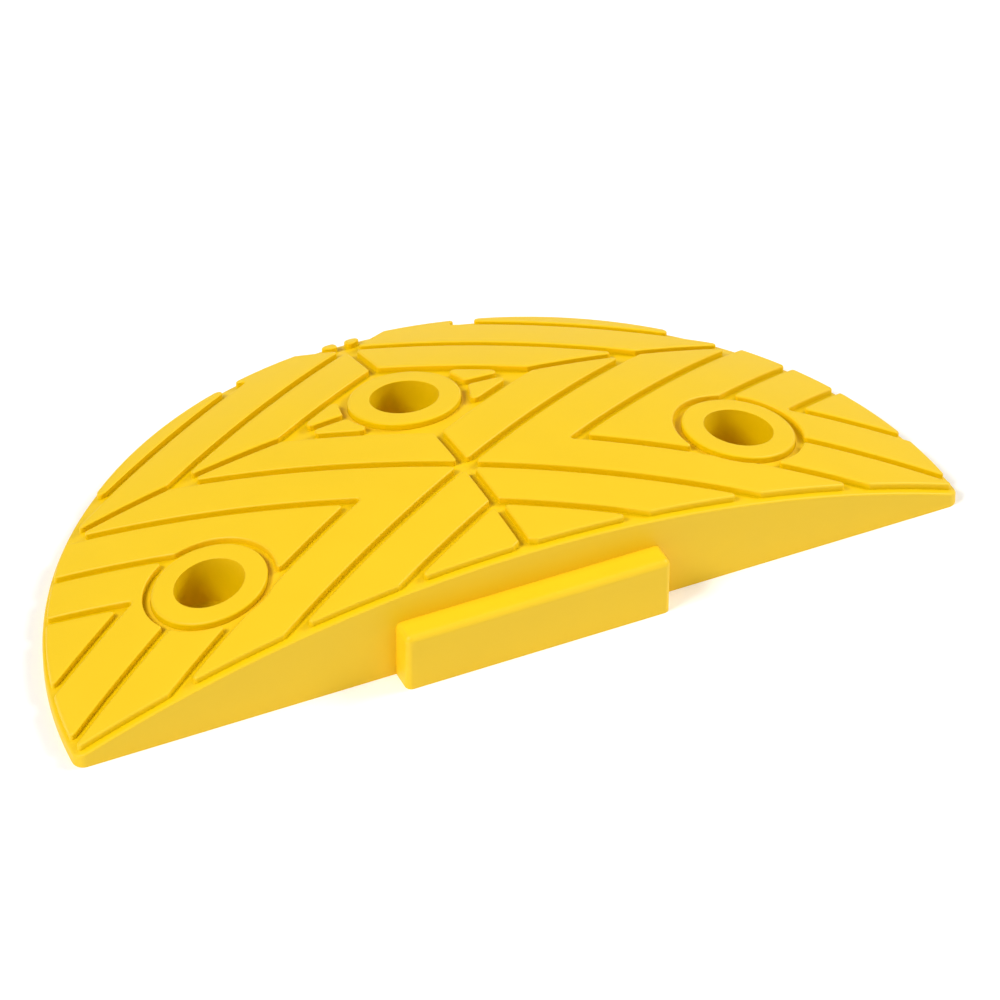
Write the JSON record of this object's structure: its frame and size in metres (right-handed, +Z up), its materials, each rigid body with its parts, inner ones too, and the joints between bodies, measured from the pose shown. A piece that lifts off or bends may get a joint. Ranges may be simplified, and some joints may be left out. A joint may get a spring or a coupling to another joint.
{
  "type": "speed bump end piece",
  "caption": "Half-round domed end piece of a modular speed bump, with a chevron tread, sunken bolt sleeves and a connector tongue on its flat end face.",
  "frame": {"origin": "on the ground, at the middle of the flat end face", "axes": "+X along the end face, +Y from the end face to the rear of the dome, +Z up"},
  "size_m": [0.4198, 0.222, 0.05],
  "materials": {
    "yellow_body": "satin",
    "yellow_tongue": "satin",
    "yellow_sleeve": "satin"
  },
  "bodies": {
    "root": {"end_cap_body": "yellow_body", "connector_tongue": "yellow_tongue", "front_left_bolt_sleeve": "yellow_sleeve", "front_right_bolt_sleeve": "yellow_sleeve", "rear_bolt_sleeve": "yellow_sleeve"}
  },
  "joints": []
}
